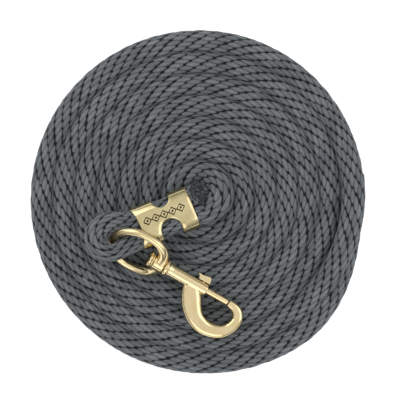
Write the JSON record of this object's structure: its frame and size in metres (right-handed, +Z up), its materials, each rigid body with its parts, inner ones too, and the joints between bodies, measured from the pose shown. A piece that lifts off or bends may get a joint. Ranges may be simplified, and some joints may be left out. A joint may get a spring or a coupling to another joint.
{
  "type": "lead rope",
  "caption": "Soft solid-braid rope wound into a flat spiral, its doubled end held by a crimped brass clamp round the swivel eye of a brass bolt snap",
  "frame": {"origin": "on the surface the coil lies on, under the middle of the object's bounding box", "axes": "+Z up, square to the flat coil; +X and +Y lie in its plane, with the snap's hook towards -Y"},
  "size_m": [0.2328, 0.2404, 0.0483],
  "materials": {
    "rope": "matte solid braid",
    "sealed_end": "melted",
    "brass": "polished",
    "spring_steel": "satin"
  },
  "bodies": {
    "rope": {"rope_coil": "rope", "rope_strand": "rope", "rope_tail_seal": "sealed_end", "rope_clamp": "brass"},
    "eye": {"swivel_eye": "brass"},
    "hook": {"hook_body": "brass", "swivel_rivet": "brass", "swivel_washer": "brass", "bolt_spring": "spring_steel"},
    "bolt": {"bolt": "brass", "thumb_knob": "brass"}
  },
  "joints": [
    {"name": "eye_lift", "type": "hinge", "parent": "rope", "child": "eye", "pos_m": [-0.0571, -0.02472, 0.03456], "axis": [-0.4985, -0.8669, 0], "range_deg": [0, 90], "deforming": ["rope_strand"]},
    {"name": "hook_swivel", "type": "hinge", "parent": "eye", "child": "hook", "pos_m": [-0.0413, -0.0338, 0.032], "axis": [-0.8585, 0.4936, 0.1392], "range_deg": [0, 180]},
    {"name": "bolt_slide", "type": "slide", "parent": "hook", "child": "bolt", "axis": [-0.8585, 0.4936, 0.1392], "range_m": [0, 0.011], "stiffness_N_per_m": 200, "springref_m": -0.01, "deforming": ["bolt_spring"]}
  ]
}
